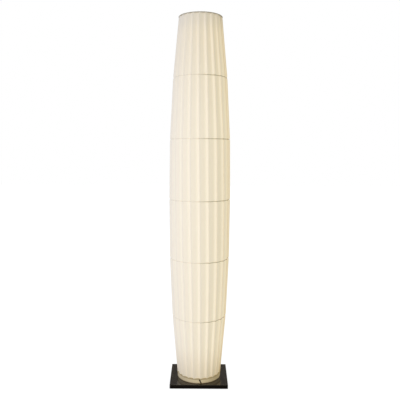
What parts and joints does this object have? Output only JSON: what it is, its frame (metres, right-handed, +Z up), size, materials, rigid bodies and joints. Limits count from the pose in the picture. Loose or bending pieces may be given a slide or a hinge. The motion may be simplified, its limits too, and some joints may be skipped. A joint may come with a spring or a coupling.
{
  "type": "column floor lamp",
  "caption": "Tall barrel-shaped column lamp: a pleated cloth shade on wire hoops lifts off a flat black base with a mast lit on its faces.",
  "frame": {"origin": "on the floor under the centre of the base", "axes": "+Z up along the mast, front towards -Y, cable entry towards +Y"},
  "size_m": [0.2503, 0.2498, 1.506],
  "materials": {
    "black_lacquer": "gloss black lacquer on board",
    "black_felt": "pressed felt",
    "raw_steel": "rolled steel",
    "zinc_steel": "zinc plated",
    "black_rubber": "moulded rubber",
    "cream_plastic": "satin strip",
    "white_paint": "white powder coat",
    "extruded_aluminium": "mill finish extrusion",
    "white_board": "white solder mask on aluminium",
    "lit_chip": "phosphor lens",
    "white_plastic": "moulded case",
    "green_board": "circuit board",
    "grey_plastic": "moulded strip",
    "lead_sheath": "soft sheath",
    "cream_cloth": "pleated cotton blend",
    "coated_wire": "white coated wire",
    "plated_brass": "satin brass"
  },
  "bodies": {
    "stand": {"base_plate": "black_lacquer", "base_felt": "black_felt", "ballast_plate": "raw_steel", "ballast_screws": "zinc_steel", "cable_grommet": "black_rubber", "shade_collar": "cream_plastic", "collar_screws": "zinc_steel", "mast_flange": "white_paint", "flange_screws": "zinc_steel", "socket_screws": "zinc_steel", "mast": "extruded_aluminium", "mast_top_plug": "zinc_steel", "driver_case": "white_plastic", "driver_board": "green_board", "driver_lid": "white_plastic", "driver_screws": "zinc_steel", "terminal_block": "grey_plastic", "supply_lead": "lead_sheath", "output_lead": "lead_sheath", "light_board_front": "white_board", "light_board_right": "white_board", "light_board_rear": "white_board", "light_board_left": "white_board", "light_chips_front": "lit_chip", "light_chips_right": "lit_chip", "light_chips_rear": "lit_chip", "light_chips_left": "lit_chip"},
    "shade": {"pleated_shade": "cream_cloth", "top_ring": "coated_wire", "spider_hub": "white_paint", "spider_arms": "coated_wire", "bottom_ring": "coated_wire", "hoop_1": "coated_wire", "hoop_2": "coated_wire", "hoop_3": "coated_wire", "hoop_4": "coated_wire", "hoop_5": "coated_wire"},
    "nut": {"shade_nut": "plated_brass"}
  },
  "joints": [
    {"name": "shade_lift", "type": "slide", "parent": "stand", "child": "shade", "axis": [0, 0, 1], "range_m": [0, 1.5]},
    {"name": "nut_turn", "type": "hinge", "parent": "shade", "child": "nut", "pos_m": [0, 0, 1.4909], "axis": [0, 0, 1], "continuous": true}
  ]
}
